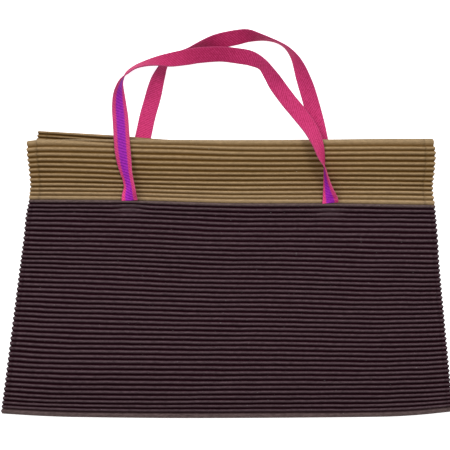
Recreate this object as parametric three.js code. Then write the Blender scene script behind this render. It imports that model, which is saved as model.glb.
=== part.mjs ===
// A pleated tote bag that lies flat on its back, with its handles laid loose past the mouth.
// Millimetres. +Z is up from the table, +Y runs from the bag's bottom to its mouth,
// and the origin is on the table under the middle of the whole bag.
import * as THREE from 'three';

// Cloth: the pleats are a zigzag that runs from side to side
const CLOTH = 1.6; // the cloth wall, measured straight up
const PLEAT_DEPTH = 2.0; // from a rib's crest down to its groove
const SEAM_GAP = 0.4; // straight up, between two layers that are sewn together
const RIB_TIP = 0.5; // a crest's end stands this far out past the bag's edge
const LAND = 0.24; // share of a rib that lies flat where the back rests

// Where the ribs begin: distances down the cloth at its left edge, its middle and its right edge
const BAND_GROOVES = [
  { rib: 0, left: 0, middle: 0, right: 0 },
  { rib: 2, left: 6.8, middle: 10, right: 11.4 },
  { rib: 6, left: 26.8, middle: 29.4, right: 31.1 },
  { rib: 13, left: 56.9, middle: 59.6, right: 60.6 },
];
const BODY_GROOVES = [
  { rib: 0, left: 0, middle: 0, right: 0 },
  { rib: 2, left: 7.7, middle: 9, right: 8.9 },
  { rib: 6, left: 24.8, middle: 27.4, right: 27.2 },
  { rib: 10, left: 43.1, middle: 45.7, right: 47.1 },
  { rib: 20, left: 88.6, middle: 90.3, right: 91.7 },
  { rib: 30, left: 136.2, middle: 135.5, right: 135.8 },
  { rib: 40, left: 184.8, middle: 182.3, right: 179.5 },
  { rib: 45, left: 205.4, middle: 204.2, right: 199.5 },
];

// Loft: the air that the cloth still holds as it lies
const LOFT = 13;
const LOFT_ACROSS = [
  { across: 0, loft: 0 },
  { across: 0.022, loft: 0 },
  { across: 0.075, loft: 0.48 },
  { across: 0.2, loft: 0.88 },
  { across: 0.5, loft: 1 },
  { across: 0.8, loft: 0.88 },
  { across: 0.925, loft: 0.48 },
  { across: 0.978, loft: 0 },
  { across: 1, loft: 0 },
];
const BAND_LOFT = [
  { down: 0, loft: 0.72 },
  { down: 1, loft: 0.9 },
];
const BODY_LOFT = [
  { down: 0, loft: 0.9 },
  { down: 0.2, loft: 1 },
  { down: 0.55, loft: 0.96 },
  { down: 0.78, loft: 0.74 },
  { down: 0.92, loft: 0.28 },
  { down: 0.978, loft: 0 },
  { down: 1, loft: 0 },
];

// Outline: the lines that cross the bag, from its left edge (0) to its right edge (1)
const RIM = [
  { across: 0, y: 78.7 },
  { across: 0.03, y: 79.7 },
  { across: 0.35, y: 79.5 },
  { across: 0.5, y: 79.3 },
  { across: 0.7, y: 79.6 },
  { across: 0.87, y: 80.5 },
  { across: 1, y: 80.9 },
];
const BACK_RIM = [
  { across: 0, y: 88.2 },
  { across: 0.06, y: 86.9 },
  { across: 0.17, y: 84.5 },
  { across: 0.34, y: 79.8 },
  { across: 0.5, y: 79.3 },
  { across: 0.7, y: 79.6 },
  { across: 0.87, y: 80.5 },
  { across: 1, y: 80.7 },
];
const SEAM = [
  { across: 0, y: 22.7 },
  { across: 0.25, y: 21.9 },
  { across: 0.5, y: 19.2 },
  { across: 0.75, y: 19 },
  { across: 1, y: 17.6 },
];
const BOTTOM = [
  { across: 0, y: -180.9 },
  { across: 0.08, y: -183 },
  { across: 0.16, y: -184.2 },
  { across: 0.42, y: -185.2 },
  { across: 0.84, y: -184 },
  { across: 0.92, y: -182.4 },
  { across: 1, y: -179 },
];

// Outline: how far the two edges stand from the middle, down the band and down the body
const BAND_EDGES = [
  { down: 0, left: 189.8, right: 195.6 },
  { down: 0.2, left: 189.8, right: 198 },
  { down: 0.45, left: 188.2, right: 197.3 },
  { down: 0.75, left: 186.7, right: 195.5 },
  { down: 1, left: 187.8, right: 197.3 },
];
const BACK_BAND_EDGES = [
  { down: 0, left: 179.6, right: 195.6 },
  { down: 0.2, left: 181.2, right: 198 },
  { down: 0.45, left: 183.2, right: 197.3 },
  { down: 0.75, left: 185.6, right: 195.5 },
  { down: 1, left: 187.8, right: 197.3 },
];
const BODY_EDGES = [
  { down: 0, left: 187.8, right: 197.3 },
  { down: 0.07, left: 190.9, right: 198.8 },
  { down: 0.17, left: 193, right: 200.4 },
  { down: 0.28, left: 195.9, right: 201.6 },
  { down: 0.75, left: 208.2, right: 210.2 },
  { down: 1, left: 214.8, right: 214.7 },
];
const BACK_BAND_COLUMNS = [0, 0.022, 0.1, 0.22, 0.34, 0.5, 0.75, 0.978, 1];
const BAND_MIDDLE = 0.45;

// Handles: flat webbing, 'rest' is the height of what lies under it: the bag's front, or the table or a strap
const STRAP_WIDTH = 15;
const STRAP_THICK = 1.5;
const LAID_GAP = 0.3;
const STEPS_PER_ROW = 2;
const CURVE_TENSION = 0.5;
const ON_BAG = null;
const BUTT_GAP = 0.3; // between the band's lower edge and the body's upper edge
const STRAP_ROOM = STRAP_THICK + LAID_GAP; // the back band lies on the back handle
const STRAP_RAMP = 0.07; // share of the body's height over which that rise fades out

// A turn of 0 shows the striped face and one of 180 or -180 the plain face. At 90 the strap stands on
// its right edge, as it runs, and at -90 on its left edge.
const FRONT_STRAP = [
  { x: -92.2, y: 21.8, rest: ON_BAG, turn: -4 },
  { x: -92.4, y: 26.5, rest: ON_BAG, turn: -22 },
  { x: -92.2, y: 34, rest: ON_BAG, turn: -46 },
  { x: -93.6, y: 42, rest: ON_BAG, turn: -49 },
  { x: -95.4, y: 49, rest: ON_BAG, turn: -41 },
  { x: -97.1, y: 58, rest: ON_BAG, turn: -25 },
  { x: -98.7, y: 69, rest: ON_BAG, turn: -9 },
  { x: -99.8, y: 82, rest: 17, turn: -2 },
  { x: -101, y: 98, rest: 10, turn: 6 },
  { x: -102.4, y: 112, rest: 3, turn: 27 },
  { x: -102.7, y: 123, rest: 0, turn: 47 },
  { x: -101.6, y: 131.9, rest: 0, turn: 70 },
  { x: -99.5, y: 137.4, rest: 0, turn: 84 },
  { x: -94.9, y: 143.3, rest: 0, turn: 100 },
  { x: -86.9, y: 148.8, rest: 1, turn: 104 },
  { x: -76.5, y: 152.1, rest: 5, turn: 113 },
  { x: -65.5, y: 154, rest: 11, turn: 129 },
  { x: -53.4, y: 155, rest: 15.5, turn: 153 },
  { x: -41.8, y: 156.9, rest: 16.4, turn: 168 },
  { x: -34, y: 158.3, rest: 15.4, turn: 181 },
  { x: -26.1, y: 159.7, rest: 10.5, turn: 190 },
  { x: -6, y: 161.1, rest: 2, turn: 202 },
  { x: 13.3, y: 159.1, rest: 0, turn: 197 },
  { x: 23.5, y: 156.8, rest: 0, turn: 205 },
  { x: 33.8, y: 151.1, rest: 0, turn: 227 },
  { x: 41.3, y: 141.3, rest: 0, turn: 214 },
  { x: 48.6, y: 130.4, rest: 0, turn: 188 },
  { x: 58.4, y: 117.1, rest: 2.4, turn: 180 },
  { x: 67.5, y: 105.8, rest: 6.5, turn: 174 },
  { x: 78, y: 91.2, rest: 14, turn: 156 },
  { x: 85, y: 77.5, rest: ON_BAG, turn: 138 },
  { x: 89, y: 63.7, rest: ON_BAG, turn: 117 },
  { x: 92.1, y: 53, rest: ON_BAG, turn: 90 },
  { x: 93.6, y: 43, rest: ON_BAG, turn: 76 },
  { x: 95.1, y: 34.2, rest: ON_BAG, turn: 60 },
  { x: 96.6, y: 27, rest: ON_BAG, turn: 39 },
  { x: 97.6, y: 22.8, rest: ON_BAG, turn: 18 },
  { x: 97.9, y: 19.4, rest: ON_BAG, turn: 0 },
];
const BACK_STRAP = [
  { x: -92.2, y: 21, rest: 0, turn: -180 },
  { x: -88, y: 45, rest: 0, turn: -180 },
  { x: -83, y: 68, rest: 0, turn: -180 },
  { x: -79.9, y: 82.2, rest: 0, turn: -180 },
  { x: -75.6, y: 102, rest: 0, turn: -178 },
  { x: -71.1, y: 118.1, rest: 0, turn: -175 },
  { x: -66.9, y: 133.6, rest: 0, turn: -151 },
  { x: -63.6, y: 142.5, rest: 0, turn: -132 },
  { x: -60.6, y: 149.2, rest: 0, turn: -117 },
  { x: -56.5, y: 155.3, rest: 0, turn: -108 },
  { x: -51.3, y: 158.9, rest: 0, turn: -104 },
  { x: -43.7, y: 161.9, rest: 0, turn: -103 },
  { x: -36.1, y: 164.5, rest: 0, turn: -106 },
  { x: -28.5, y: 167.7, rest: 0, turn: -114 },
  { x: -20, y: 170.9, rest: 0, turn: -126 },
  { x: -10.5, y: 173.4, rest: 0, turn: -146 },
  { x: -1, y: 175.2, rest: 0, turn: -160 },
  { x: 9.5, y: 177.2, rest: 0, turn: -157 },
  { x: 19.6, y: 178.6, rest: 0, turn: -141 },
  { x: 31, y: 177.2, rest: 0, turn: -113 },
  { x: 40, y: 175.2, rest: 0, turn: -99 },
  { x: 49.6, y: 171.7, rest: 0, turn: -93 },
  { x: 57.3, y: 166.5, rest: 0, turn: -99 },
  { x: 63.8, y: 158.6, rest: 0, turn: -114 },
  { x: 68.1, y: 150.2, rest: 0, turn: -131 },
  { x: 72.2, y: 139.2, rest: 0, turn: -150 },
  { x: 76.5, y: 126.9, rest: 0, turn: -167 },
  { x: 81.2, y: 111, rest: 0, turn: -175 },
  { x: 85.4, y: 95, rest: 0, turn: -178 },
  { x: 88.6, y: 80, rest: 0, turn: -180 },
  { x: 93.5, y: 55, rest: 0, turn: -180 },
  { x: 98.8, y: 19, rest: 0, turn: -180 },
];

// A smooth line through a table's rows, read at any value of its key
function readTable(rows, key, column, value) {
  const last = rows.length - 2;
  let i = rows.findIndex((row, n) => n > 0 && value <= row[key]) - 1;
  i = i < 0 ? (value <= rows[0][key] ? 0 : last) : i;
  const [a, b] = [rows[i], rows[i + 1]];
  const before = rows[Math.max(i - 1, 0)];
  const after = rows[Math.min(i + 2, rows.length - 1)];
  const span = b[key] - a[key];
  const t = THREE.MathUtils.clamp((value - a[key]) / span, 0, 1);
  const slopeA = ((b[column] - before[column]) / (b[key] - before[key])) * span;
  const slopeB = ((after[column] - a[column]) / (after[key] - a[key])) * span;
  const t2 = t * t;
  const t3 = t2 * t;
  const fromA = (2 * t3 - 3 * t2 + 1) * a[column] + (t3 - 2 * t2 + t) * slopeA;
  return fromA + (3 * t2 - 2 * t3) * b[column] + (t3 - t2) * slopeB;
}

const loftAcross = (across) => readTable(LOFT_ACROSS, 'across', 'loft', across);
const lineAt = (line, across) => readTable(line, 'across', 'y', across);
const ribsOf = (grooves) => grooves[grooves.length - 1].rib;

// How far down a cloth a rib's row lies, as a share of its height there
function shareDown(grooves, rib, across) {
  const end = grooves[grooves.length - 1];
  const share = (column) => readTable(grooves, 'rib', column, rib) / end[column];
  const rows = [
    { across: 0, share: share('left') },
    { across: 0.5, share: share('middle') },
    { across: 1, share: share('right') },
  ];
  return readTable(rows, 'across', 'share', across);
}

// How far the band is held up by the handle under it, fading out down the body
function bodyRise(down) {
  return STRAP_ROOM * (1 - THREE.MathUtils.smoothstep(down, 0, STRAP_RAMP));
}

// The four pleated cloths: where each lies, and the height of its lower face with no rib
const body = {
  top: SEAM,
  bottom: BOTTOM,
  topGap: BUTT_GAP / 2,
  bottomGap: 0,
  edges: BODY_EDGES,
  grooves: BODY_GROOVES,
};
const backBody = { ...body, base: (across, down) => bodyRise(down) };
const frontBody = {
  ...body,
  base(across, down) {
    const loft = Math.max(0, readTable(BODY_LOFT, 'down', 'loft', down));
    return CLOTH + SEAM_GAP + bodyRise(down) + LOFT * loft * loftAcross(across);
  },
};
const backBand = {
  top: BACK_RIM,
  bottom: SEAM,
  topGap: 0,
  bottomGap: BUTT_GAP / 2,
  edges: BACK_BAND_EDGES,
  grooves: BAND_GROOVES,
  base: () => STRAP_ROOM,
};
const frontBand = {
  ...backBand,
  top: RIM,
  edges: BAND_EDGES,
  base(across, down) {
    const loft = readTable(BAND_LOFT, 'down', 'loft', down);
    return CLOTH + SEAM_GAP + STRAP_ROOM + LOFT * loft * loftAcross(across) + slip(across, down);
  },
};

// Where the back band's ribs slip out of step with the front's, the front rides up on them
function slip(across, down) {
  const shift = (lineAt(BACK_RIM, across) - lineAt(RIM, across)) * (1 - down);
  const pitch = (lineAt(RIM, across) - lineAt(SEAM, across)) / ribsOf(BAND_GROOVES);
  return PLEAT_DEPTH * THREE.MathUtils.clamp((2 * shift) / pitch, 0, 1);
}

// A place on a cloth, from its share of the way across, its row and its rib's height 0 to 1
function placeOn(cloth, across, row, rib) {
  const down = shareDown(cloth.grooves, row, across);
  const left = -readTable(cloth.edges, 'down', 'left', down);
  const right = readTable(cloth.edges, 'down', 'right', down);
  const tip = RIB_TIP * (2 * rib - 1);
  const top = lineAt(cloth.top, across) - cloth.topGap;
  const bottom = lineAt(cloth.bottom, across) + cloth.bottomGap;
  return {
    x: THREE.MathUtils.lerp(left - tip, right + tip, across),
    y: THREE.MathUtils.lerp(top, bottom, down),
    low: cloth.base(across, down) + PLEAT_DEPTH * rib,
  };
}

// The rows of a cloth's pleats: each rib has a groove, and a crest at its middle; 'land' widens the low rows
function pleatRows(ribs, land) {
  const rows = [];
  for (let k = 0; k <= ribs; k += 1) {
    const lows = land > 0 ? [k - land / 2, k + land / 2] : [k];
    for (const low of lows) {
      if (low > 0 && low < ribs) rows.push({ row: low, rib: 0 });
    }
    if (k < ribs) rows.push({ row: k + 0.5, rib: 1 });
  }
  rows.sort((a, b) => a.row - b.row);
  return [{ row: 0, rib: 0 }, ...rows, { row: ribs, rib: 0 }];
}

// A closed wall from two grids of points, one above the other, with its border sewn shut
function wallBetween(lower, upper) {
  const rows = lower.length;
  const columns = lower[0].length;
  const points = [...lower.flat(), ...upper.flat()];
  const below = (r, c) => r * columns + c;
  const above = (r, c) => rows * columns + below(r, c);
  const faces = [];
  const quad = (a, b, c, d) => faces.push(a, b, c, a, c, d);
  for (let r = 0; r + 1 < rows; r += 1) {
    for (let c = 0; c + 1 < columns; c += 1) {
      quad(above(r, c), above(r + 1, c), above(r + 1, c + 1), above(r, c + 1));
      quad(below(r, c), below(r, c + 1), below(r + 1, c + 1), below(r + 1, c));
    }
    quad(below(r, 0), below(r + 1, 0), above(r + 1, 0), above(r, 0));
    const edge = columns - 1;
    quad(below(r + 1, edge), below(r, edge), above(r, edge), above(r + 1, edge));
  }
  for (let c = 0; c + 1 < columns; c += 1) {
    quad(below(0, c + 1), below(0, c), above(0, c), above(0, c + 1));
    const end = rows - 1;
    quad(below(end, c), below(end, c + 1), above(end, c + 1), above(end, c));
  }
  const geometry = new THREE.BufferGeometry();
  geometry.setAttribute('position', new THREE.Float32BufferAttribute(points.flat(), 3));
  geometry.setIndex(faces);
  geometry.computeVertexNormals();
  return geometry;
}

function pleatedCloth(cloth, columns, land) {
  const grid = pleatRows(ribsOf(cloth.grooves), land).map(({ row, rib }) =>
    columns.map((across) => placeOn(cloth, across, row, rib)),
  );
  const lower = grid.map((row) => row.map(({ x, y, low }) => [x, y, low]));
  const upper = grid.map((row) => row.map(({ x, y, low }) => [x, y, low + CLOTH]));
  return wallBetween(lower, upper);
}

// The height of the front band's crests under a handle
function bandCrest(x, y) {
  const left = readTable(BAND_EDGES, 'down', 'left', BAND_MIDDLE);
  const right = readTable(BAND_EDGES, 'down', 'right', BAND_MIDDLE);
  const across = (x + left) / (left + right);
  const top = lineAt(RIM, across);
  const down = THREE.MathUtils.clamp((top - y) / (top - lineAt(SEAM, across)), 0, 1);
  return frontBand.base(across, down) + PLEAT_DEPTH + CLOTH;
}

// Flat webbing along a table's rows: a rectangle carried along a smooth path, turned about it
function webbing(rows) {
  const channel = (value) => {
    const knots = rows.map((row) => new THREE.Vector3(value(row), 0, 0));
    return new THREE.CatmullRomCurve3(knots, false, 'catmullrom', CURVE_TENSION);
  };
  const support = (row) => (row.rest === ON_BAG ? bandCrest(row.x, row.y) + LAID_GAP : row.rest);
  const read = {
    x: channel((row) => row.x),
    y: channel((row) => row.y),
    rest: channel(support),
    turn: channel((row) => THREE.MathUtils.degToRad(row.turn)),
  };
  const steps = (rows.length - 1) * STEPS_PER_ROW;
  const stations = [];
  for (let i = 0; i <= steps; i += 1) {
    const turn = read.turn.getPoint(i / steps).x;
    const rest = Math.max(0, read.rest.getPoint(i / steps).x);
    const reach = STRAP_WIDTH * Math.abs(Math.sin(turn)) + STRAP_THICK * Math.abs(Math.cos(turn));
    const [x, y] = [read.x.getPoint(i / steps).x, read.y.getPoint(i / steps).x];
    stations.push({ turn, at: new THREE.Vector3(x, y, rest + reach / 2) });
  }
  const up = new THREE.Vector3(0, 0, 1);
  const sections = stations.map(({ turn, at }, i) => {
    const ahead = stations[Math.min(i + 1, steps)].at;
    const behind = stations[Math.max(i - 1, 0)].at;
    const travel = ahead.clone().sub(behind).setZ(0).normalize();
    const left = up.clone().cross(travel);
    const width = left.clone().multiplyScalar(Math.cos(turn)).addScaledVector(up, Math.sin(turn));
    const face = up.clone().multiplyScalar(Math.cos(turn)).addScaledVector(left, -Math.sin(turn));
    const corner = (w, f) =>
      at
        .clone()
        .addScaledVector(width, (w * STRAP_WIDTH) / 2)
        .addScaledVector(face, (f * STRAP_THICK) / 2)
        .toArray();
    return { plain: [corner(-1, -1), corner(1, -1)], striped: [corner(-1, 1), corner(1, 1)] };
  });
  return wallBetween(
    sections.map((section) => section.plain),
    sections.map((section) => section.striped),
  );
}

// Colours and finish
const DARK = 0x4a3840;
const KHAKI = 0x8d734c;
const PINK = 0xd23a73;
const CLOTH_ROUGHNESS = 0.85;
const WEBBING_ROUGHNESS = 0.75;

const group = new THREE.Group();
function add(name, geometry, color, roughness) {
  const cover = new THREE.MeshStandardMaterial({ color, roughness, metalness: 0 });
  const mesh = new THREE.Mesh(geometry, cover);
  mesh.name = name;
  group.add(mesh);
}

const columns = LOFT_ACROSS.map((row) => row.across);
add('front_panel', pleatedCloth(frontBody, columns, 0), DARK, CLOTH_ROUGHNESS);
add('back_panel', pleatedCloth(backBody, columns, LAND), DARK, CLOTH_ROUGHNESS);
add('front_band', pleatedCloth(frontBand, columns, 0), KHAKI, CLOTH_ROUGHNESS);
add('back_band', pleatedCloth(backBand, BACK_BAND_COLUMNS, 0), KHAKI, CLOTH_ROUGHNESS);
add('front_strap', webbing(FRONT_STRAP), PINK, WEBBING_ROUGHNESS);
add('back_strap', webbing(BACK_STRAP), PINK, WEBBING_ROUGHNESS);

export default group;
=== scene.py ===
import bpy
import numpy as np
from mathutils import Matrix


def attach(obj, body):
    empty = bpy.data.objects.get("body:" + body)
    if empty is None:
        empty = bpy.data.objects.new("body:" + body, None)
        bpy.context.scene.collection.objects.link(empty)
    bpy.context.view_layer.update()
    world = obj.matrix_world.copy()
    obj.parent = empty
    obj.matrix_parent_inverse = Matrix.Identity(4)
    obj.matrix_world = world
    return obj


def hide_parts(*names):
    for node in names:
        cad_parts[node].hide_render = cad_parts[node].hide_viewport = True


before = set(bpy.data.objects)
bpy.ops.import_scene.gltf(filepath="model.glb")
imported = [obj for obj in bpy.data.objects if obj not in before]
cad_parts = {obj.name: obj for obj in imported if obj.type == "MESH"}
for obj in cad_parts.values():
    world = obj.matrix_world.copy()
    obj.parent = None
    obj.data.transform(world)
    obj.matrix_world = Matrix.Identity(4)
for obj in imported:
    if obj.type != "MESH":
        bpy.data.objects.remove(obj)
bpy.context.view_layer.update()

# The table: a white sheet that glows a little, so that hardly a shadow shows on it.
# It is seen from straight above through a long lens, under two soft lamps that stand beyond the handles.
PIXEL = 0.00095
IMAGE_PIXELS = 450
LENS = 250
SENSOR = 36
SEEN_HEIGHT = 0.008
VIEW_CENTRE = (-0.0019, -0.0014)
LAMP_BESIDE = 0.95
LAMP_BEYOND = 1.2
LAMP_HEIGHT = 1.75
LAMP_SIZE = 0.7
LAMP_WATTS = 24.5
SURROUND = 0.57
FLOOR_HALF = 6.0
FARTHEST_SEEN = 50.0

camera_data = bpy.data.cameras.new("view_from_above")
camera_data.lens = LENS
camera_data.sensor_width = SENSOR
camera_data.clip_end = FARTHEST_SEEN
camera = bpy.data.objects.new("view_from_above", camera_data)
camera.location = (*VIEW_CENTRE, SEEN_HEIGHT + PIXEL * IMAGE_PIXELS * LENS / SENSOR)
bpy.context.collection.objects.link(camera)
bpy.context.scene.camera = camera
bpy.context.scene.view_settings.view_transform = "Standard"

for name, side in (("lamp_left_beyond", -1), ("lamp_right_beyond", 1)):
    lamp_data = bpy.data.lights.new(name, "AREA")
    lamp_data.size = LAMP_SIZE
    lamp_data.energy = LAMP_WATTS
    lamp = bpy.data.objects.new(name, lamp_data)
    lamp.location = (side * LAMP_BESIDE, LAMP_BEYOND, LAMP_HEIGHT)
    lamp.rotation_euler = (-lamp.location).to_track_quat("-Z", "Y").to_euler()
    bpy.context.collection.objects.link(lamp)

world = bpy.data.worlds.new("white_surround")
world.use_nodes = True
world.node_tree.nodes["Background"].inputs["Color"].default_value = (1.0, 1.0, 1.0, 1.0)
world.node_tree.nodes["Background"].inputs["Strength"].default_value = SURROUND
bpy.context.scene.world = world

floor_mesh = bpy.data.meshes.new("table")
floor_corners = np.array([(-1, -1, 0), (1, -1, 0), (1, 1, 0), (-1, 1, 0)]) * FLOOR_HALF
floor_mesh.from_pydata(floor_corners.tolist(), [], [(0, 1, 2, 3)])
floor = bpy.data.objects.new("table", floor_mesh)
floor_white = bpy.data.materials.new("table_white")
floor_white.use_nodes = True
floor_shader = floor_white.node_tree.nodes["Principled BSDF"]
floor_shader.inputs["Base Color"].default_value = (0.9, 0.9, 0.9, 1.0)
floor_shader.inputs["Roughness"].default_value = 0.9
floor_shader.inputs["Emission Color"].default_value = (1.0, 0.985, 0.993, 1.0)
floor_shader.inputs["Emission Strength"].default_value = 0.8
floor_mesh.materials.append(floor_white)
bpy.context.collection.objects.link(floor)

# The back panel: dark pleated cloth that lies on the table, on its own outer folds.
# One cut of polyester, heat-set in pleats that run from side to side, sewn to the front along its edge.
# Sizes from here on are millimetres in the part's frame, or shares of the cloth's own height or width.
MM = 0.001
CLOTH = 0.8
PLEAT_DEPTH = 2.8
RIB_SHARPNESS = 1.2
RIB_LEAN = 0.6
RIB_TIP = 0.7
NARROW_RIB = 0.8
RIB_STEPS = np.array([0.0, 0.04, 0.1, 0.2, 0.32, 0.48, 0.68, 0.86])
HEM_COLUMNS = np.array([0, 0.6, 1.4, 2.4, 3.4, 4.2, 4.8, 5.4, 6.2, 7.2, 8, 8.6, 9.2, 9.8, 10.6, 12, 14, 17])
HEM_WIDTH = 20.0
CLOTH_WIDTH = 400.0
MIDDLE_COLUMNS = 98
WAVE_LENGTHS = np.array([19.0, 31.0, 62.0, 113.0, 187.0, 340.0])
WAVE_SHARES = np.array([0.1, 0.13, 0.2, 0.22, 0.25, 0.25])
WAVE_DRIFTS = (0.25, 0.9)
UNEVEN_DEPTH = 0.14
DEPTH_SEED = 50
DEPTH_DRIFT = 3
SEWN_END = 0.04
STITCH_REACH = 1.0
STITCH_PULL = 0.4
# How much less painted shade lies in the grooves of pressed ribs.
PRESSED_SHADE_LIFT = 1.2
LIP = 0.9
LIP_PINCH = 0.35
STRAP_ROOM = 1.8
STRAP_RAMP = 0.07
BOTTOM_PRESS = 0.45
BOTTOM_PRESSED = 0.06

# Each row holds a groove's number, counted from the seam, and its distance from it at these places across.
BODY_PLACES = (0.04, 0.54, 0.88, 1)
BODY_GROOVES = [
    (0, 0, 0, 0, 0),
    (2, 8, 9, 9, 9),
    (4, 16, 17.5, 17.5, 17.5),
    (6, 25.5, 27, 27.5, 27.5),
    (10, 44, 45.5, 47, 47.5),
    (15, 65.5, 67.5, 69.5, 70.5),
    (20, 88.5, 90, 91.5, 92),
    (30, 136, 135, 136, 136),
    (40, 184.5, 182, 180, 180),
    (44, 201, 199.5, 197, 195.5),
    (45, 205.5, 204, 201.5, 199.5),
]
SEAM_LINE = [(0, 22.7), (0.25, 21.9), (0.5, 19.2), (0.75, 19), (1, 17.6)]
BOTTOM_LINE = [
    (0, -180.9), (0.08, -183), (0.16, -184.2), (0.42, -185.2), (0.84, -184), (0.92, -182.4), (1, -179),
]
BODY_LEFT = [(0, -187.8), (0.07, -190.9), (0.17, -193), (0.28, -195.9), (0.75, -208.2), (1, -214.8)]
BODY_RIGHT = [(0, 197.3), (0.07, 198.8), (0.17, 200.4), (0.28, 201.6), (0.75, 210.2), (1, 214.7)]


def smooth_line(rows, at):
    """Reads a curve through (place, value) rows: cubic pieces, with the slope at a row that joins the rows
    beside it."""
    keys, values = np.array(rows, float).T
    before, after = np.r_[0, : len(keys) - 1], np.r_[1 : len(keys), len(keys) - 1]
    slopes = (values[after] - values[before]) / (keys[after] - keys[before])
    i = np.clip(np.searchsorted(keys, at, side="right") - 1, 0, len(keys) - 2)
    span = keys[i + 1] - keys[i]
    t = np.clip((at - keys[i]) / span, 0, 1)
    start = (2 * t**3 - 3 * t**2 + 1) * values[i] + (t**3 - 2 * t**2 + t) * slopes[i] * span
    return start + (3 * t**2 - 2 * t**3) * values[i + 1] + (t**3 - t**2) * slopes[i + 1] * span


def ease(value, low, high):
    """Runs smoothly from 0 at low to 1 at high, level at both ends."""
    t = np.clip((value - low) / (high - low), 0, 1)
    return t * t * (3 - 2 * t)


def near(value, centre, reach, power=2):
    """A bell that is 1 at the centre and has faded at the reach; a higher power makes its top flatter."""
    return np.exp(-(np.abs((value - centre) / reach) ** power))


def between(value, start, full, fading, end):
    """Rises from 0 at the start to 1, stays, and falls back to 0 from where it is fading to the end."""
    return ease(value, start, full) * (1 - ease(value, fading, end))


def columns_across():
    """Shares of the way across: close together at both edges, where the hem is, and even between."""
    edge = HEM_COLUMNS / CLOTH_WIDTH
    hem = HEM_WIDTH / CLOTH_WIDTH
    return np.concatenate([edge, np.linspace(hem, 1 - hem, MIDDLE_COLUMNS), 1 - edge[::-1]])


def groove_shares(cloth, across):
    """How far down each groove lies, as a share of the cloth's height: smooth lines through its table's rows,
    blended between the table's places across."""
    number, *columns = np.array(cloth["grooves"], float).T
    grooves = np.arange(number[-1] + 1)
    lines = [np.stack([number, column / column[-1]], axis=1) for column in columns]
    shares = np.array([smooth_line(line, grooves) for line in lines])
    places = np.array(cloth["places"], float)
    i = np.clip(np.searchsorted(places, across, side="right") - 1, 0, len(places) - 2)
    blend = ease(across, places[i], places[i + 1])
    return shares[i].T * (1 - blend) + shares[i + 1].T * blend


def pleat_rows(cloth, across):
    """Shares of the way down, rib heights and rib numbers at every row and column. Each rib rises as a power
    of a sine between its two grooves, leaning towards the mouth; a very narrow one rises less, and the rib at
    a seam keeps half its height there."""
    grooves = groove_shares(cloth, across)
    ribs = len(grooves) - 1
    phase = np.append(np.tile(RIB_STEPS, ribs), 1.0)[:, None]
    number = np.append(np.repeat(np.arange(ribs), len(RIB_STEPS)), ribs - 1)[:, None]
    span = np.diff(grooves, axis=0)[number[:, 0]]
    rib = np.sin(np.pi * phase**RIB_LEAN).clip(0) ** RIB_SHARPNESS
    crest = 0.5 ** (1 / RIB_LEAN)
    if cloth["seam_at"] == "top":
        rib = np.where((number == 0) & (phase < crest), 0.5 + 0.5 * ease(phase, 0, crest), rib)
    else:
        rib = np.where((number == ribs - 1) & (phase > crest), 1 - 0.5 * ease(phase, crest, 1), rib)
    return grooves[number[:, 0]] + phase * span, rib * np.clip(span * ribs / NARROW_RIB, 0, 1), number


def unevenness(x, number, seed):
    """Slow waves along each rib: a sum of sines whose phases drift from one rib to the next."""
    random = np.random.default_rng(seed)
    starts = random.uniform(0, 2 * np.pi, len(WAVE_LENGTHS))
    drifts = random.uniform(*WAVE_DRIFTS, len(WAVE_LENGTHS))
    waves = np.sin(x[..., None] / WAVE_LENGTHS * 2 * np.pi + starts + drifts * number[..., None])
    return waves @ WAVE_SHARES


def sewn_wall(lower, upper):
    """Points and faces of a closed wall: two grids of points, one over the other, joined round the border."""
    rows, columns = lower.shape[:2]
    below = np.arange(rows * columns).reshape(rows, columns)
    above = below + rows * columns
    corners = [
        (above[:-1, :-1], above[1:, :-1], above[1:, 1:], above[:-1, 1:]),
        (below[:-1, :-1], below[:-1, 1:], below[1:, 1:], below[1:, :-1]),
        (below[:-1, 0], below[1:, 0], above[1:, 0], above[:-1, 0]),
        (below[1:, -1], below[:-1, -1], above[:-1, -1], above[1:, -1]),
        (below[0, 1:], below[0, :-1], above[0, :-1], above[0, 1:]),
        (below[-1, :-1], below[-1, 1:], above[-1, 1:], above[-1, :-1]),
    ]
    faces = np.concatenate([np.stack(quad, axis=-1).reshape(-1, 4) for quad in corners])
    return np.concatenate([lower.reshape(-1, 3), upper.reshape(-1, 3)]), faces


def on_both_faces(marks, shape):
    """Each mark's values, spread over a grid of the given shape, for the wall's lower and upper points."""
    return {name: np.tile(np.broadcast_to(mark, shape).ravel(), 2) for name, mark in marks.items()}


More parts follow.
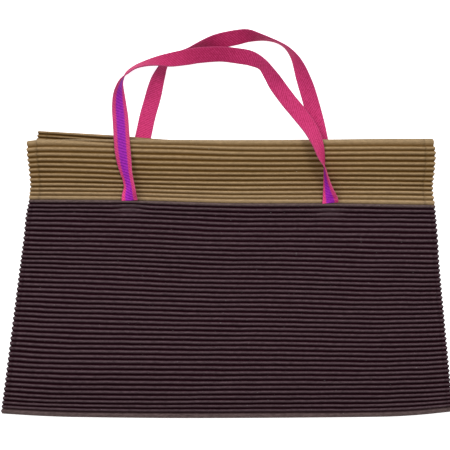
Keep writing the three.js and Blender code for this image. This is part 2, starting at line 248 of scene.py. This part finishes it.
def pleated_sheet(cloth):
    """A wall of pleated cloth: its ribs run between its top and bottom lines and end on its two edges' lines.
    Each point stands at the cloth's own height plus its rib's, less where it is stitched or pressed."""
    across = columns_across()
    down, rib, number = pleat_rows(cloth, across)
    left, right = smooth_line(cloth["left"], down), smooth_line(cloth["right"], down)
    tip = RIB_TIP * (2 * rib - 1)
    x = left - tip + (right - left + 2 * tip) * across
    top, bottom = smooth_line(cloth["top"], across), smooth_line(cloth["bottom"], across)
    inside = between(down, 0, SEWN_END, 1 - SEWN_END, 1)
    y = top + (bottom - top) * down + cloth["wander"] * inside * unevenness(x, number, cloth["seed"])
    from_edge = np.minimum(across, 1 - across) * (right - left)
    stitched = near(from_edge, cloth["stitch_in"], STITCH_REACH)
    bow, lift, pressed = cloth["shape"](x, y, down)
    uneven = 1 + UNEVEN_DEPTH * inside * unevenness(x, DEPTH_DRIFT * number, cloth["seed"] + DEPTH_SEED)
    depth = cloth["depth"](down) * uneven * (1 - STITCH_PULL * stitched) * (1 - pressed)
    low = cloth["base"](across, down) + depth * rib + lift
    to_end = np.minimum(down, 1 - down) * (top - bottom)
    lip = np.clip(np.minimum(from_edge, to_end) / LIP, 0, 1)
    pinch = LIP_PINCH * CLOTH * (1 - np.sqrt(1 - (1 - lip) ** 2))
    lower = np.stack([x, y + bow, low + pinch], axis=-1)
    upper = np.stack([x, y + bow, low + CLOTH - pinch], axis=-1)
    hem = np.max([near(down, at, reach, power=4) for at, reach in cloth["hems"]], axis=0)
    # The rib mark is painted shade in the grooves and a painted highlight on the crests; pressed ribs keep
    # less of the painted shade, and each cloth's tone scales the mark.
    tone = cloth["tone"](down) * (rib + PRESSED_SHADE_LIFT * pressed * (1 - rib))
    marks = {"rib": tone, "stitched": stitched, "hem": hem}
    return *sewn_wall(lower, upper), on_both_faces(marks, x.shape)


def new_piece(name, material, points, faces, marks):
    """An object of four-cornered faces on points in millimetres, with each mark's value at every point."""
    mesh = bpy.data.meshes.new(name)
    mesh.vertices.add(len(points))
    mesh.vertices.foreach_set("co", (points * MM).astype(np.float32).ravel())
    mesh.loops.add(faces.size)
    mesh.loops.foreach_set("vertex_index", faces.astype(np.int32).ravel())
    mesh.polygons.add(len(faces))
    mesh.polygons.foreach_set("loop_start", np.arange(0, faces.size, 4, dtype=np.int32))
    mesh.polygons.foreach_set("use_smooth", np.ones(len(faces), bool))
    mesh.update(calc_edges=True)
    for mark, values in marks.items():
        layer = mesh.attributes.new(mark, "FLOAT", "POINT")
        layer.data.foreach_set("value", values.astype(np.float32))
    mesh.materials.append(material)
    piece = bpy.data.objects.new(name, mesh)
    bpy.context.collection.objects.link(piece)
    return piece


def node(tree, kind, values, **settings):
    """A new node of a material, with its settings and its inputs' values; another node's output is linked."""
    made = tree.nodes.new(kind)
    for setting, value in settings.items():
        setattr(made, setting, value)
    for name, value in values.items():
        if isinstance(value, bpy.types.NodeSocket):
            tree.links.new(value, made.inputs[name])
        else:
            made.inputs[name].default_value = value
    return made


def mark_on(tree, name):
    """The values of one of the mesh's own marks."""
    return node(tree, "ShaderNodeAttribute", {}, attribute_name=name).outputs["Fac"]


def noise_on(tree, vector, **values):
    """Noise on a vector, from 0 to 1, with the given scale and detail."""
    return node(tree, "ShaderNodeTexNoise", {"Vector": vector, **values}).outputs["Fac"]


def range_of(tree, value, **limits):
    """A value carried from one range to another."""
    named = {name.replace("_", " ").title(): limit for name, limit in limits.items()}
    return node(tree, "ShaderNodeMapRange", {"Value": value, **named}).outputs["Result"]


def mix_of(tree, factor, first, second):
    """Two colours mixed: the first at a factor of 0, the second at 1."""
    values = {"Fac": factor, "Color1": first, "Color2": second}
    return node(tree, "ShaderNodeMixRGB", values).outputs["Color"]


def scaled(tree, colour, factor):
    """A colour made darker or lighter by a factor."""
    values = {0: colour, "Scale": factor}
    return node(tree, "ShaderNodeVectorMath", values, operation="SCALE").outputs["Vector"]


def ramp_of(tree, factor, stops):
    """Colours that follow a factor through (place, colour) stops."""
    made = node(tree, "ShaderNodeValToRGB", {"Fac": factor})
    ramp = made.color_ramp.elements
    for place, _ in stops[1:-1]:
        ramp.new(place)
    for element, (place, colour) in zip(ramp, stops):
        element.position, element.color = place, (*colour, 1)
    return made.outputs["Color"]


def pleated_cloth(name, stops, hem, fleck, streaks):
    """Heat-set polyester: its colour runs from painted shade in the grooves to a painted highlight on the
    crests, with its own tone at the folded hem, streaked along the ribs, darker at the stitches, with a few
    pale flecks of lint and a fine weave."""
    material = bpy.data.materials.new(name)
    material.use_nodes = True
    tree = material.node_tree
    place = node(tree, "ShaderNodeTexCoord", {}).outputs["Object"]
    # The ramp turns the rib mark into painted shade in the grooves and a painted highlight on the crests.
    colour = ramp_of(tree, mark_on(tree, "rib"), stops)
    colour = mix_of(tree, mark_on(tree, "hem"), colour, (*hem, 1))
    along = node(tree, "ShaderNodeMapping", {"Vector": place, "Scale": (230, 800, 800)}).outputs["Vector"]
    streak = noise_on(tree, along, Scale=1.0, Detail=4.0, Roughness=0.65)
    shade = range_of(tree, streak, to_min=1 - streaks, to_max=1 + streaks)
    dent = range_of(tree, mark_on(tree, "stitched"), to_min=1.0, to_max=0.72)
    shade = node(tree, "ShaderNodeMath", {0: shade, 1: dent}, operation="MULTIPLY").outputs[0]
    lint = noise_on(tree, place, Scale=420.0, Detail=1.0)
    speck = range_of(tree, lint, from_min=0.76, from_max=0.82, to_max=0.4)
    flecked = mix_of(tree, speck, scaled(tree, colour, shade), (*fleck, 1))
    weave = noise_on(tree, place, Scale=1900.0, Detail=2.0)
    bump = node(tree, "ShaderNodeBump", {"Height": weave, "Strength": 0.3, "Distance": 0.0004})
    shader = tree.nodes["Principled BSDF"]
    tree.links.new(flecked, shader.inputs["Base Color"])
    tree.links.new(bump.outputs["Normal"], shader.inputs["Normal"])
    shader.inputs["Roughness"].default_value = 0.88
    shader.inputs["Specular IOR Level"].default_value = 0.03
    return material


def body_rise(down):
    """The cloth near the mouth is held up by the handle under it, and this fades out down the body."""
    return STRAP_ROOM * (1 - ease(down, 0, STRAP_RAMP))


def body_depth(down):
    """The pleats' depth, which is less at the bottom hem."""
    return PLEAT_DEPTH * (1 - BOTTOM_PRESS * ease(down, 1 - BOTTOM_PRESSED, 1))


def unshaped(x, y, down):
    """No bow, no lift and no pressing anywhere."""
    return 0.0, 0.0, 0.0


dark_cloth = pleated_cloth(
    "dark_pleats",
    # From groove to crest: painted shade in the grooves, a painted highlight on the crests.
    stops=[
        (0, (0.0125, 0.0012, 0.0042)),
        (0.45, (0.0195, 0.0042, 0.0078)),
        (0.8, (0.055, 0.0315, 0.0375)),
        (1, (0.089, 0.0585, 0.067)),
    ],
    hem=(0.1, 0.069, 0.066),
    fleck=(0.3, 0.27, 0.27),
    streaks=0.95,
)
body = {
    "places": BODY_PLACES,
    "grooves": BODY_GROOVES,
    "seam_at": "top",
    "top": SEAM_LINE,
    "bottom": BOTTOM_LINE,
    "left": BODY_LEFT,
    "right": BODY_RIGHT,
    "stitch_in": 4.8,
    "wander": 0.35,
    "hems": ((0, 0.012), (1, 0.022)),
    "depth": body_depth,
    "tone": lambda down: 1.0,
}
back_cloth = {**body, "seed": 11, "shape": unshaped, "base": lambda across, down: body_rise(down)}
back_panel = new_piece("back_panel_cloth", dark_cloth, *pleated_sheet(back_cloth))
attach(back_panel, "root")
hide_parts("back_panel")

# The front panel: the same dark pleated cloth, lofted a little by the air left in the bag.
# It is sewn to the back panel at both sides and the bottom, and its top ribs ride over the handles' ends.
LAYER = 2.0
LOFT = 13.0
LOFT_HALF = [(0, 0), (0.022, 0), (0.075, 0.48), (0.2, 0.88), (0.5, 1)]
LOFT_ACROSS = LOFT_HALF + [(1 - place, share) for place, share in LOFT_HALF[-2::-1]]
BODY_LOFT = [(0, 0.9), (0.2, 1), (0.55, 0.96), (0.78, 0.74), (0.92, 0.28), (0.978, 0), (1, 0)]
HUMP_HEIGHT = 1.7
HUMP_REACH = 13.0
HUMP_FADES = 17.0
HUMP_PRESS = 0.4
BOWED_BELOW = (0, 7, 9, 15)
PRESSED_BELOW = (2, 6, 10, 17)
# Each handle's sewn end: its x, its y and how far the ribs below it bow.
HANDLE_ENDS = ((-92.2, 21.9, 1.2), (97.9, 19.1, 0.5))


def front_base(across, down):
    """The lower face of the front: over the back's cloth, plus the loft, which is highest in the middle."""
    loft = np.maximum(smooth_line(BODY_LOFT, down), 0) * np.maximum(smooth_line(LOFT_ACROSS, across), 0)
    return LAYER + body_rise(down) + LOFT * loft


def handle_humps(x, y, down):
    """The first ribs ride up over each handle's end, bow towards the mouth and are pressed flatter: each is a
    bell across that fades with the distance below the end."""
    bow, lift, pressed = 0.0, 0.0, 0.0
    for at_x, at_y, most in HANDLE_ENDS:
        bell = near(x, at_x, HUMP_REACH, power=2.5)
        below = at_y - y
        bow = bow + most * bell * between(below, *BOWED_BELOW)
        lift = lift + HUMP_HEIGHT * bell * (1 - ease(below, 0, HUMP_FADES))
        pressed = pressed + HUMP_PRESS * bell * between(below, *PRESSED_BELOW)
    return bow, lift, pressed


front_cloth = {**body, "seed": 12, "shape": handle_humps, "base": front_base}
front_panel = new_piece("front_panel_cloth", dark_cloth, *pleated_sheet(front_cloth))
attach(front_panel, "root")
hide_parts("front_panel")

# The mouth bands: two strips of khaki pleated cloth, one to each panel, with folded rims and hemmed ends.
# Each is sewn to its panel along the seam, and the back one lies askew, so that its left corner stands out.

# Each row holds a groove's number, counted from the rim, and its distance from it at these places across.
# The back band's grooves are the same but for their distances at its left edge.
BAND_PLACES = (0.03, 0.31, 0.58, 1)
BAND_GROOVES = [
    (0, 0, 0, 0, 0),
    (1, 0.2, 5, 6.5, 7.5),
    (2, 7, 9, 11.5, 12),
    (4, 18, 20.5, 21.5, 22.5),
    (6, 28, 31, 31.5, 32.5),
    (8, 38, 40.5, 40.5, 42),
    (10, 47.5, 49, 50, 50.5),
    (13, 60, 61, 62.5, 64),
]
BACK_LEFT_GROOVES = (0, 3.5, 7, 17.5, 29, 40, 51, 68)
BAND_LOFT = [(0, 0.72), (1, 0.9)]
RIM_LINE = [(0, 78.7), (0.03, 79.7), (0.35, 79.5), (0.5, 79.3), (0.7, 79.6), (0.87, 80.5), (1, 80.9)]
BACK_RIM_LINE = [
    (0, 88.2), (0.06, 86.9), (0.17, 84.5), (0.34, 79.8), (0.5, 79.3), (0.7, 79.6), (0.87, 80.5), (1, 80.7),
]
BAND_LEFT = [(0, -189.8), (0.2, -189.8), (0.45, -188.2), (0.75, -186.7), (1, -187.8)]
BACK_BAND_LEFT = [(0, -179.6), (0.2, -181.2), (0.45, -183.2), (0.75, -185.6), (1, -187.8)]
BAND_RIGHT = [(0, 195.6), (0.2, 198), (0.45, 197.3), (0.75, 195.5), (1, 197.3)]
RIM_PRESS = 0.4
RIM_PRESSED = 0.3
SEAM_PRESS = 0.36
SEAM_PRESSED = 0.7
HANDLE_PRESS = 0.45
HANDLE_PRESSED = (2, 10)
PRESS_REACH = 11.0
# The back band's ribs carry a little deeper painted shading all over, and the front band's near its rim.
BACK_TONE = 0.92
RIM_TONE = 0.9
TONE_CHANGES = (0.55, 0.85)


def band_base(across, down):
    """The lower face of the front band: its loft, and a lift where its ribs and the back's are out of step.
    They are wholly out of step where the rims lie half a rib apart."""
    loft = smooth_line(BAND_LOFT, down) * np.maximum(smooth_line(LOFT_ACROSS, across), 0)
    rim, seam = smooth_line(RIM_LINE, across), smooth_line(SEAM_LINE, across)
    shift = (smooth_line(BACK_RIM_LINE, across) - rim) * (1 - down)
    ribs = BAND_GROOVES[-1][0]
    slip = PLEAT_DEPTH * np.clip(2 * shift * ribs / (rim - seam), 0, 1)
    return LAYER + STRAP_ROOM + LOFT * loft + slip


def band_pressing(x, y, down):
    """The first and the last ribs are pressed flatter, and the last ones most under each handle's end."""
    ends = RIM_PRESS * (1 - ease(down, 0, RIM_PRESSED)) + SEAM_PRESS * ease(down, SEAM_PRESSED, 1)
    under = 0.0
    for at_x, at_y, _ in HANDLE_ENDS:
        under = under + near(x, at_x, PRESS_REACH, power=4) * (1 - ease(y - at_y, *HANDLE_PRESSED))
    return 0.0, 0.0, np.maximum(ends, HANDLE_PRESS * under)


def front_band_tone(down):
    """The front band's painted rib shading is a little deeper from the rim to about the middle."""
    return RIM_TONE + (1 - RIM_TONE) * ease(down, *TONE_CHANGES)


khaki_cloth = pleated_cloth(
    "khaki_pleats",
    # From groove to crest: painted shade in the grooves, a painted highlight on the crests.
    stops=[
        (0, (0.092, 0.043, 0.007)),
        (0.4, (0.118, 0.061, 0.017)),
        (0.8, (0.25, 0.167, 0.084)),
        (1, (0.35, 0.241, 0.135)),
    ],
    hem=(0.26, 0.185, 0.105),
    fleck=(0.6, 0.52, 0.4),
    streaks=0.5,
)
band = {
    "seam_at": "bottom",
    "bottom": SEAM_LINE,
    "right": BAND_RIGHT,
    "stitch_in": 9.2,
    "wander": 0.15,
    "depth": lambda down: PLEAT_DEPTH,
}
back_band_cloth = {
    **band,
    "places": (0, *BAND_PLACES[1:]),
    "grooves": [(row[0], left, *row[2:]) for row, left in zip(BAND_GROOVES, BACK_LEFT_GROOVES)],
    "top": BACK_RIM_LINE,
    "left": BACK_BAND_LEFT,
    "hems": ((0, 0.004),),
    "seed": 13,
    "shape": unshaped,
    "base": lambda across, down: STRAP_ROOM,
    "tone": lambda down: BACK_TONE,
    "flat": (0.386, 0.098),
}
front_band_cloth = {
    **band,
    "places": BAND_PLACES,
    "grooves": BAND_GROOVES,
    "top": RIM_LINE,
    "left": BAND_LEFT,
    # The hem's light khaki tone reaches over the upper part of the first rib below the front rim: the folded
    # rim's own tone, carried on as a painted highlight on that rib.
    "hems": ((0, 0.03),),
    "seed": 14,
    "shape": band_pressing,
    "base": band_base,
    "tone": front_band_tone,
    "flat": (0.386, 0.093),
}
for name, cloth in (("back_band", back_band_cloth), ("front_band", front_band_cloth)):
    band_piece = new_piece(f"{name}_cloth", khaki_cloth, *pleated_sheet(cloth))
    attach(band_piece, "root")
    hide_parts(name)

# The handles: two lengths of pink woven webbing with a purple stripe down one face, with painted shade along
# their tops and painted light towards their ends. They are sewn into the seams below the bands, and lie loose
# past the rim.
STRAP_WIDTH = 15.3
STRAP_THICK = 1.5
LAID_GAP = 0.3
SELVEDGE_ROUND = 0.6
SELVEDGE_FLAT = 0.93
SELVEDGE = (6.5, 7.3)
STRIPE_HALF = 3.9
STRIPE_RAGGED = 0.7
STRIPE_WEAVE = 2.9
STRIPE_SLANT = -0.45
STRIPE_RELIEF = 0.07
TWILL = 2.5
TWILL_SLANT = -0.8
TWILL_RELIEF = 0.04
# Where along each handle the painted shade on its top is deepest, and how far it reaches.
PAINTED_SHADE_AT = 0.47
PAINTED_SHADE_REACH = 57.0
# How far from each end the painted light reaches on the front and the back handle.
FRONT_PAINTED_LIGHT = 26.0
BACK_PAINTED_LIGHT = 73.0
END_DIP = 0.9
END_REACH = 12.0
STRAP_STEPS = 1300
STRAP_COLUMNS = np.concatenate([[-1, -0.985, -0.95], np.linspace(-0.88, 0.88, 19), [0.95, 0.985, 1]])
BAND_MIDDLE = (-188.2, 197.3)
ON_BAG = -1
# Each row of a route holds x, y, the height of what lies under it, and the turn about its length, degrees.
FRONT_ROUTE = [
    (-92.2, 21.8, ON_BAG, -4), (-92.4, 26.5, ON_BAG, -22), (-92.2, 34, ON_BAG, -46),
    (-93.6, 42, ON_BAG, -49),
    (-95.4, 49, ON_BAG, -41), (-97.1, 58, ON_BAG, -25), (-98.7, 69, ON_BAG, -9), (-99.8, 82, 17, -2),
    (-101, 98, 10, 6), (-102.4, 112, 3, 27), (-102.7, 123, 0, 47), (-101.6, 131.9, 0, 70),
    (-99.5, 137.4, 0, 84), (-94.9, 143.3, 0, 100), (-86.9, 148.8, 1, 104), (-76.5, 152.1, 5, 113),
    (-65.5, 154, 11, 129), (-53.4, 155, 15.5, 153), (-41.8, 156.9, 16.4, 168), (-34, 158.3, 15.4, 181),
    (-26.1, 159.7, 10.5, 190), (-6, 161.1, 2, 202), (13.3, 159.1, 0, 197), (23.5, 156.8, 0, 205),
    (33.8, 151.1, 0, 227), (41.3, 141.3, 0, 214), (48.6, 130.4, 0, 188), (58.4, 117.1, 2.4, 180),
    (67.5, 105.8, 6.5, 174), (78, 91.2, 14, 156), (85, 77.5, ON_BAG, 138), (89, 63.7, ON_BAG, 117),
    (92.1, 53, ON_BAG, 90), (93.6, 43, ON_BAG, 76), (95.1, 34.2, ON_BAG, 60), (96.6, 27, ON_BAG, 39),
    (97.6, 22.8, ON_BAG, 18), (97.9, 19.4, ON_BAG, 0),
]
BACK_ROUTE = [
    (-92.2, 21, 0, -180), (-88, 45, 0, -180), (-83, 68, 0, -180), (-79.9, 82.2, 0, -180),
    (-75.6, 102, 0, -178), (-71.1, 118.1, 0, -175), (-66.9, 133.6, 0, -151), (-63.6, 142.5, 0, -132),
    (-60.6, 149.2, 0, -117), (-56.5, 155.3, 0, -108), (-51.3, 158.9, 0, -104), (-43.7, 161.9, 0, -103),
    (-36.1, 164.5, 0, -106), (-28.5, 167.7, 0, -114), (-20, 170.9, 0, -126), (-10.5, 173.4, 0, -146),
    (-1, 175.2, 0, -160), (9.5, 177.2, 0, -157), (19.6, 178.6, 0, -141), (31, 177.2, 0, -113),
    (40, 175.2, 0, -99), (49.6, 171.7, 0, -93), (57.3, 166.5, 0, -99), (63.8, 158.6, 0, -114),
    (68.1, 150.2, 0, -131), (72.2, 139.2, 0, -150), (76.5, 126.9, 0, -167), (81.2, 111, 0, -175),
    (85.4, 95, 0, -178), (88.6, 80, 0, -180), (93.5, 55, 0, -180), (98.8, 19, 0, -180),
]


def band_crest(x, y):
    """The height of the front band's crests at a place on it."""
    across = (x - BAND_MIDDLE[0]) / (BAND_MIDDLE[1] - BAND_MIDDLE[0])
    rim, seam = smooth_line(RIM_LINE, across), smooth_line(SEAM_LINE, across)
    down = np.clip((rim - y) / (rim - seam), 0, 1)
    return band_base(across, down) + PLEAT_DEPTH + CLOTH


def webbing(route, painted_light_reach):
    """A flat section with round selvedges, carried along a smooth route and turned about it, its lower edge
    on what lies under it; slanting ribs cross the stripe and a finer twill crosses the rest."""
    x, y, rest, turn = np.array(route, float).T
    rest = np.where(rest == ON_BAG, band_crest(x, y) + LAID_GAP, rest)
    key = np.arange(len(route), dtype=float)
    fine = np.linspace(0, key[-1], STRAP_STEPS)
    channels = (x, y, rest, np.radians(turn))
    x, y, rest, turn = (smooth_line(np.stack([key, channel], axis=1), fine) for channel in channels)
    from_end = np.minimum(np.hypot(x - x[0], y - y[0]), np.hypot(x - x[-1], y - y[-1]))
    rest = np.maximum(rest - END_DIP * (1 - ease(from_end, 0, END_REACH)), 0)
    reach = STRAP_WIDTH * np.abs(np.sin(turn)) + STRAP_THICK * np.abs(np.cos(turn))
    centre = np.stack([x, y, rest + reach / 2], axis=1)
    along = np.concatenate([[0], np.cumsum(np.linalg.norm(np.diff(centre, axis=0), axis=1))])[:, None]
    travel = np.gradient(centre[:, :2], axis=0)
    travel = travel / np.linalg.norm(travel, axis=1)[:, None]
    left = np.stack([-travel[:, 1], travel[:, 0], np.zeros(len(x))], axis=1)
    cos, sin = np.cos(turn)[:, None], np.sin(turn)[:, None]
    up = np.array([[0.0, 0.0, 1.0]])
    width, face = left * cos + up * sin, up * cos - left * sin
    half = STRAP_WIDTH / 2
    side = STRAP_COLUMNS * half
    into_edge = np.clip((np.abs(side) - half) / SELVEDGE_ROUND + 1, 0, 1)
    thick = STRAP_THICK / 2 * np.sqrt(1 - SELVEDGE_FLAT * into_edge**2)
    in_stripe = near(side, 0, STRIPE_HALF, power=12)
    ribs = STRIPE_RELIEF * np.cos((along + STRIPE_SLANT * side) / STRIPE_WEAVE * 2 * np.pi) * in_stripe
    twill = TWILL_RELIEF * np.cos((along + TWILL_SLANT * side) / TWILL * 2 * np.pi)
    striped_out = thick + ribs + twill * (1 - in_stripe) - STRIPE_RELIEF
    plain_out = thick + twill - STRIPE_RELIEF
    middle, outward = centre[:, None] + width[:, None] * side[:, None], face[:, None]
    plain, striped = middle - outward * plain_out[..., None], middle + outward * striped_out[..., None]
    # Painted shade along the top of each handle, about the middle of its length.
    painted_top_shade = near(along, PAINTED_SHADE_AT * along[-1], PAINTED_SHADE_REACH, power=3)
    # Painted light towards each end, where shade falls on the handle.
    painted_end_light = near(np.minimum(along, along[-1] - along), 0, painted_light_reach, power=3)
    marks = {"side": side, "along": along, "painted_top_shade": painted_top_shade, "painted_end_light": painted_end_light}
    marks = on_both_faces(marks, ribs.shape)
    marks["striped"] = np.repeat([0.0, 1.0], ribs.size)
    return *sewn_wall(plain, striped), marks


def striped_webbing():
    """Woven nylon: pink twill with duller selvedges, and a purple stripe on one face whose slanting yarns are
    of two tones; painted shade darkens the top of each handle and painted light brightens its ends."""
    material = bpy.data.materials.new("striped_webbing")
    material.use_nodes = True
    tree = material.node_tree

    def math(operation, *values):
        """The result of a sum on values or on nodes' outputs."""
        return node(tree, "ShaderNodeMath", dict(enumerate(values)), operation=operation).outputs[0]

    side, along, striped = mark_on(tree, "side"), mark_on(tree, "along"), mark_on(tree, "striped")
    slant = math("MULTIPLY_ADD", side, STRIPE_SLANT, along)
    yarn = math("SINE", math("MULTIPLY", slant, 2 * np.pi / STRIPE_WEAVE))
    diagonal = math("MULTIPLY_ADD", side, TWILL_SLANT, along)
    twill = math("SINE", math("MULTIPLY", diagonal, 2 * np.pi / TWILL))
    place = node(tree, "ShaderNodeTexCoord", {}).outputs["Object"]
    mottle = noise_on(tree, place, Scale=700.0, Detail=3.0)
    # Painted shade on each handle's top, and a slight painted lift everywhere else along it.
    painted_shade_along = math("MULTIPLY_ADD", mark_on(tree, "painted_top_shade"), -0.25, 0.07)
    pink_tone = math("ADD", math("MULTIPLY_ADD", twill, 0.17, mottle), painted_shade_along)
    plain = ramp_of(tree, pink_tone, [(0.25, (0.285, 0.0108, 0.061)), (0.75, (0.51, 0.037, 0.15))])
    beside = ramp_of(tree, pink_tone, [(0.25, (0.3, 0.0165, 0.083)), (0.75, (0.52, 0.043, 0.163))])
    pink = mix_of(tree, striped, plain, beside)
    from_middle = math("ABSOLUTE", side)
    edge = range_of(tree, from_middle, from_min=SELVEDGE[0], from_max=SELVEDGE[1], to_max=0.5)
    pink = mix_of(tree, edge, pink, (0.3, 0.05, 0.12, 1))
    purple_tone = math("MULTIPLY_ADD", yarn, 0.2, mottle)
    purple = ramp_of(tree, purple_tone, [(0.2, (0.145, 0.005, 0.2)), (0.8, (0.31, 0.0175, 0.355))])
    ragged = math("MULTIPLY_ADD", yarn, 0.25, from_middle)
    inner, outer = STRIPE_HALF - STRIPE_RAGGED, STRIPE_HALF + STRIPE_RAGGED
    stripe = range_of(tree, ragged, from_min=inner, from_max=outer, to_min=1.0, to_max=0.0)
    woven = mix_of(tree, math("MULTIPLY", stripe, striped), pink, purple)
    # Painted light brightens each handle towards its ends.
    bright = math("MULTIPLY_ADD", mark_on(tree, "painted_end_light"), 0.55, 1.0)
    colour = scaled(tree, woven, bright)
    bump = node(tree, "ShaderNodeBump", {"Height": mottle, "Strength": 0.25, "Distance": 0.0003})
    shader = tree.nodes["Principled BSDF"]
    tree.links.new(colour, shader.inputs["Base Color"])
    tree.links.new(bump.outputs["Normal"], shader.inputs["Normal"])
    shader.inputs["Roughness"].default_value = 0.7
    shader.inputs["Specular IOR Level"].default_value = 0.1
    return material


webbing_cloth = striped_webbing()
handles = (
    ("back_strap", BACK_ROUTE, BACK_PAINTED_LIGHT),
    ("front_strap", FRONT_ROUTE, FRONT_PAINTED_LIGHT),
)
for name, route, painted_light_reach in handles:
    strap = new_piece(f"{name}_webbing", webbing_cloth, *webbing(route, painted_light_reach))
    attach(strap, "root")
    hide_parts(name)
